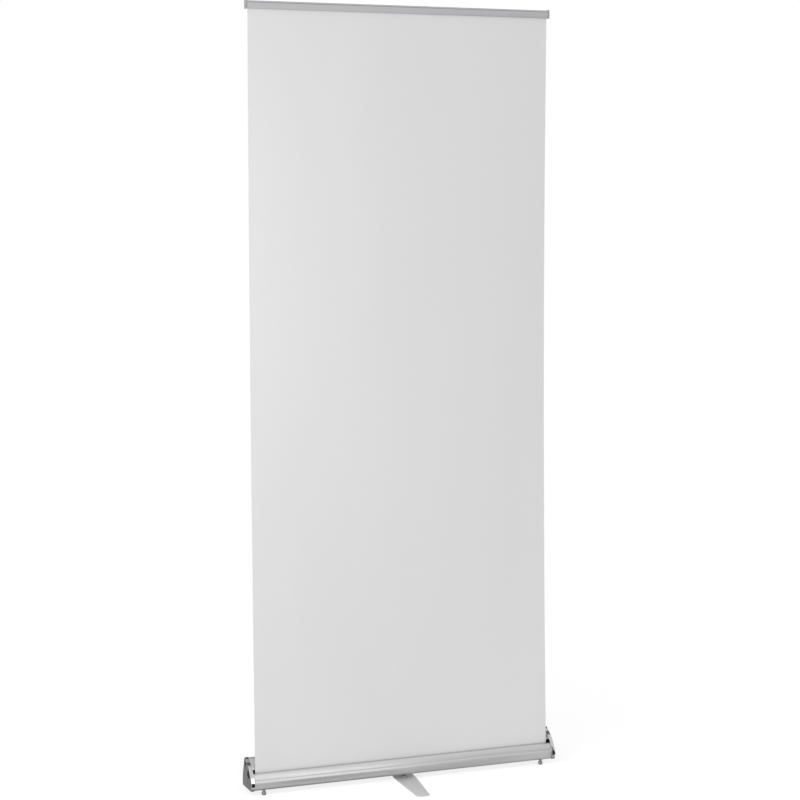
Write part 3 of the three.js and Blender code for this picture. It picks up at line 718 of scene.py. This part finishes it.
def make_rail():
    for name, node, outline in (
        ("rail_back_half", "rail_rear", rail_back_outline()),
        ("rail_front_half", "rail_front_jaw", rail_front_outline()),
    ):
        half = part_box(node)[1][0]
        edge = 0.1 * MM
        stations = [(-half, edge), (-half + edge, 0), (half - edge, 0), (half, edge)]
        soften(stand_in(name, loft(outline, stations), node), 30)
    for name in ("rail_cap_left", "rail_cap_right"):
        (x0, y0, z0), (x1, y1, z1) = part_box(name)
        corner, rounding = 2 * MM, 0.8 * MM
        outline = [
            *arc(y0 + corner, z0 + corner, corner, 180, 270, 8),
            *arc(y1 - corner, z0 + corner, corner, 270, 360, 8),
            *arc(y1 - corner, z1 - corner, corner, 0, 90, 8),
            *arc(y0 + corner, z1 - corner, corner, 90, 180, 8),
        ]
        curve = arc(0, 0, rounding, 0, 90, 5)
        near = [(x0 + rounding - v, rounding - u) for u, v in curve][::-1]
        far = [(x1 - rounding + v, rounding - u) for u, v in curve]
        soften(stand_in(name + "_plug", loft(outline, near + far), name), 40)


make_rail()


# ---------------------------------------------------------------- mast

MAST_WALL = 0.7 * MM
COLLAR_WALL = 1.2 * MM
COLLAR_LIP = 8 * MM


def mast_tube(name):
    """A drawn tube with its cut ends broken by a small chamfer."""
    low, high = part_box(name)
    radius = high[0]
    inner, edge = radius - MAST_WALL, 0.2 * MM
    return turned([
        (inner, low[2]),
        (radius - edge, low[2]),
        (radius, low[2] + edge),
        (radius, high[2] - edge),
        (radius - edge, high[2]),
        (inner, high[2]),
        (inner, low[2]),
    ], 0, MAST_Y)


def mast_collar(name, tube):
    """A moulded collar, with grip rings round its skirt and a rounded lip."""
    low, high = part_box(name)
    outer = high[0]
    bore = outer - COLLAR_WALL
    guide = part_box(tube)[1][0] - MAST_WALL
    seat = high[2] - COLLAR_LIP + FIT
    first, spacing, half, depth = 3 * MM, 2.4 * MM, 0.5 * MM, 0.35 * MM
    rings = []
    for i in range(4):
        z = low[2] + first + spacing * i
        rings += [(outer, z - half), (outer - depth, z), (outer, z + half)]
    rounding, foot, mouth = 1 * MM, 0.4 * MM, 0.3 * MM
    return turned([
        (bore, low[2]),
        (outer - foot, low[2]),
        (outer, low[2] + foot),
        *rings,
        *arc(outer - rounding, high[2] - rounding, rounding, 0, 90, 6),
        (guide + mouth, high[2]),
        (guide, high[2] - mouth),
        (guide, seat),
        (bore, seat),
        (bore, low[2]),
    ], 0, MAST_Y)


def mast_socket():
    """A blind moulded cup in the casing, with a rounded mouth."""
    low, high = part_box("mast_socket")
    outer = high[0]
    bore = MAST_HIGH[0] + FIT
    floor = low[2] + 1.4 * MM
    foot, rounding = 0.6 * MM, 0.5 * MM
    return turned([
        (0, low[2]),
        (outer - foot, low[2]),
        (outer, low[2] + foot),
        *arc(outer - rounding, high[2] - rounding, rounding, 0, 90, 5),
        (bore + 0.4 * MM, high[2]),
        (bore, high[2] - 0.6 * MM),
        (bore, floor),
        (0, floor),
    ], 0, MAST_Y)


def make_mast():
    for name in ("mast_lower", "mast_middle", "mast_upper"):
        soften(stand_in(name + "_tube", mast_tube(name), name), 40)
    for name, tube in (("mast_collar_lower", "mast_lower"), ("mast_collar_middle", "mast_middle")):
        soften(stand_in(name + "_moulding", mast_collar(name, tube), name), 40)
    soften(stand_in("mast_socket_moulding", mast_socket(), "mast_socket"), 40)
    round_edges(frame["nodes"]["mast_top_hook"], 0.4)


make_mast()


# ---------------------------------------------------------------- swivel foot

FOOT_LOW, FOOT_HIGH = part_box("foot_bar")
FOOT_REACH = 190 * MM                # from the pivot to each tip
FOOT_MIDDLE = 61 * MM                # width over the pivot
FOOT_TIP = 38 * MM                   # width at the tips
FOOT_SHOULDER = 25 * MM              # from the pivot to where the straight sides start
FOOT_CORNER = 9 * MM
FOOT_EDGE = 0.9 * MM                 # rounding of the bar's upper and lower edges
FOOT_TURN = math.radians(-5.4)
BOLT_SHANK = 4 * MM
BOLT_SINK = 2.8 * MM                 # depth of the countersink under the bar


def foot_outline():
    """Right half from tip to tip, then the same on the left, turned as the foot stands."""
    tip, straight = FOOT_TIP / 2, FOOT_REACH - FOOT_CORNER
    middle = FOOT_MIDDLE / 2
    shoulder = middle - (middle - tip) * FOOT_SHOULDER / straight
    waist = smooth_curve([
        (shoulder, -FOOT_SHOULDER),
        ((shoulder + middle) / 2, 0),
        (shoulder, FOOT_SHOULDER),
    ], 12)
    right = [
        *arc(tip - FOOT_CORNER, -straight, FOOT_CORNER, -90, 0, 10),
        *waist,
        *arc(tip - FOOT_CORNER, straight, FOOT_CORNER, 0, 90, 10),
    ]
    left = [(-x, -y) for x, y in right]
    turn = complex(math.cos(FOOT_TURN), math.sin(FOOT_TURN))
    spots = [complex(x, y) * turn for x, y in right + left]
    return [(spot.real, spot.imag) for spot in spots]


def make_foot():
    """A flat bar with soft edges and a countersunk pivot hole, and the two rings on its pivot."""
    low, high = FOOT_LOW[2], FOOT_HIGH[2]
    curve = arc(0, 0, FOOT_EDGE, 0, 90, 5)
    under = [(low + FOOT_EDGE - v, FOOT_EDGE - u) for u, v in curve][::-1]
    over = [(high - FOOT_EDGE + v, FOOT_EDGE - u) for u, v in curve]
    bar = stand_in("foot_plate", loft(foot_outline(), under + over, axis="Z"), "foot_bar")
    head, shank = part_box("pivot_bolt")[1][0] + FIT, BOLT_SHANK + FIT
    margin = 1 * MM
    cut_with(bar, turned([
        (0, low - margin),
        (head, low - margin),
        (head, low + FIT),
        (shank, low + BOLT_SINK + FIT),
        (shank, high + margin),
        (0, high + margin),
    ], 0, 0))
    soften(bar, 35)
    chamfer = 0.3 * MM
    for name in ("pivot_washer", "pivot_spacer"):
        ring_low, ring_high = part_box(name)
        edge, bottom, top = ring_high[0], ring_low[2], ring_high[2]
        ring = turned([
            (shank, bottom),
            (edge - chamfer, bottom),
            (edge, bottom + chamfer),
            (edge, top - chamfer),
            (edge - chamfer, top),
            (shank, top),
            (shank, bottom),
        ], 0, 0)
        soften(stand_in(name + "_ring", ring, name), 40)


make_foot()


# ---------------------------------------------------------------- levelling feet

def make_levelling_foot(name):
    """A turned glide with a round bulb, a plain stem and a threaded end inside the casing."""
    (x0, y0, z0), (x1, y1, z1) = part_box(name)
    x, y, bulb = (x0 + x1) / 2, (y0 + y1) / 2, (x1 - x0) / 2
    centre, stem, thread, root = 4.2 * MM, 4.5 * MM, 3 * MM, 2.65 * MM
    start = -math.degrees(math.asin(centre / bulb))
    stop = math.degrees(math.acos(stem / bulb))
    shoulder, chamfer = BASE - FIT, 0.4 * MM
    pitch = 1 * MM
    ridges = []
    for i in range(int((z1 - shoulder) / pitch) - 1):
        z = shoulder + pitch * (i + 0.5)
        ridges += [(root, z), (thread, z + pitch / 2)]
    glide = turned([
        (0, z0),
        *arc(0, centre, bulb, start, stop, 18),
        (stem, shoulder - chamfer),
        (stem - chamfer, shoulder),
        *ridges,
        (root, z1),
        (0, z1),
    ], x, y)
    soften(stand_in(name + "_glide", glide, name), 40)


for end_name in ("left", "right"):
    make_levelling_foot(f"level_foot_{end_name}")


# ---------------------------------------------------------------- pieces that keep their CAD shape

def soften_cad_nodes():
    for obj in frame["nodes"].values():
        soften(obj, 32)


soften_cad_nodes()


# ---------------------------------------------------------------- studio

def studio_plane(name, corners, material):
    mesh = bpy.data.meshes.new(name)
    mesh.from_pydata(corners, [], [(0, 1, 2, 3)])
    mesh.materials.append(material)
    plane = bpy.data.objects.new(name, mesh)
    bpy.context.scene.collection.objects.link(plane)
    return plane


def studio_floor():
    """A white acrylic light table: it glows a little, so only the closest shadows stay on it."""
    table = new_material(
        "white_acrylic_table", Base_Color=linear("#CBCBCB"), Roughness=0.9,
        Emission_Color=linear("#FFFFFF"), Emission_Strength=0.66,
    )[0]
    half = 30
    corners = [(-half, -half, 0), (half, -half, 0), (half, half, 0), (-half, half, 0)]
    studio_plane("floor", corners, table).visible_glossy = False


def studio_flag(name, low, high):
    """A black felt flag, upright in front of the stand. Only the shine of the metal sees it."""
    felt = new_material("black_felt", Base_Color=linear("#1A1A1A"), Roughness=1.0)[0]
    (x0, y, z0), (x1, y, z1) = low, high
    flag = studio_plane(name, [(x0, y, z0), (x1, y, z0), (x1, y, z1), (x0, y, z1)], felt)
    for ray in ("camera", "diffuse", "shadow", "transmission", "volume_scatter"):
        setattr(flag, f"visible_{ray}", False)


# Brightness of the world by the sine of the height, from straight down (0) to straight up (1).
SKY_LEVELS = [
    (0, 0.2),
    (0.12, 0.55),
    (0.25, 0.84),
    (0.4, 0.86),
    (0.5, 0.82),
    (0.68, 0.86),
    (0.85, 0.9),
    (1, 0.8),
]


def fade(tree, value, start, stop, most):
    """A value's soft climb from 0 at the start to the most at the stop."""
    inputs = {"Value": value, "From Min": start, "From Max": stop, "To Min": 0, "To Max": most}
    return add(tree, "ShaderNodeMapRange", inputs, interpolation_type="SMOOTHSTEP").outputs["Result"]


def studio_world():
    """White to the eye. Its light is even in front, and dims straight below and high up behind."""
    world = bpy.data.worlds.new("studio")
    world.use_nodes = True
    tree = world.node_tree
    direction = add(tree, "ShaderNodeTexCoord").outputs["Generated"]
    split = add(tree, "ShaderNodeSeparateXYZ", {"Vector": direction}).outputs
    height = add(tree, "ShaderNodeMapRange", {
        "Value": split["Z"], "From Min": -1, "From Max": 1,
    }).outputs["Result"]
    sky = add(tree, "ShaderNodeValToRGB", {"Fac": height})
    for place, level in SKY_LEVELS[1:-1]:
        sky.color_ramp.elements.new(place)
    for element, (place, level) in zip(sky.color_ramp.elements, SKY_LEVELS):
        element.position = place
        element.color = (level, level, level, 1)
    behind = fade(tree, split["Y"], -0.05, 0.22, 1)
    high = fade(tree, split["Z"], 0.15, 0.5, 0.85)
    lost = add(tree, "ShaderNodeMath", {0: behind, 1: high}, operation="MULTIPLY").outputs[0]
    kept = add(tree, "ShaderNodeMath", {0: 1, 1: lost}, operation="SUBTRACT").outputs[0]
    light = add(tree, "ShaderNodeMath", {0: sky.outputs["Color"], 1: kept}, operation="MULTIPLY")
    seen = add(tree, "ShaderNodeLightPath").outputs["Is Camera Ray"]
    strength = add(tree, "ShaderNodeMix", {0: seen, 2: light.outputs[0], 3: 1}).outputs[0]
    background = tree.nodes["Background"]
    background.inputs["Color"].default_value = linear("#FFFFFF")
    tree.links.new(strength, background.inputs["Strength"])
    bpy.context.scene.world = world


def softbox(name, place, target, size, power):
    """A flat light that faces its target. The camera doesn't see it."""
    data = bpy.data.lights.new(name, "AREA")
    data.shape = "RECTANGLE"
    data.size, data.size_y = size
    data.energy = power
    light = bpy.data.objects.new(name, data)
    light.location = place
    aim = Vector(target) - Vector(place)
    light.rotation_euler = aim.to_track_quat("-Z", "Y").to_euler()
    light.visible_camera = False
    bpy.context.scene.collection.objects.link(light)
    return light


studio_floor()
studio_world()
# The bright rims of the end caps mirror the flags and the strip light.
studio_flag("left_flag", (-0.4, -1.5, -0.8), (0.16, -1.5, 0.6))
studio_flag("right_flag", (0.95, -1.5, -2.6), (1.4, -1.5, 2.1))
softbox("side_light", (-1.25, -0.75, 1.4), (-0.3, 0, 1.2), (0.4, 1.6), 5.5)
strip_light = softbox("strip_light", (0.05, -1.5, 1.02), (0, 0, 0.6), (0.44, 0.6), 1.6)
strip_light.visible_diffuse = False

view = bpy.context.scene.view_settings
view.view_transform = "Standard"
view.look = "None"
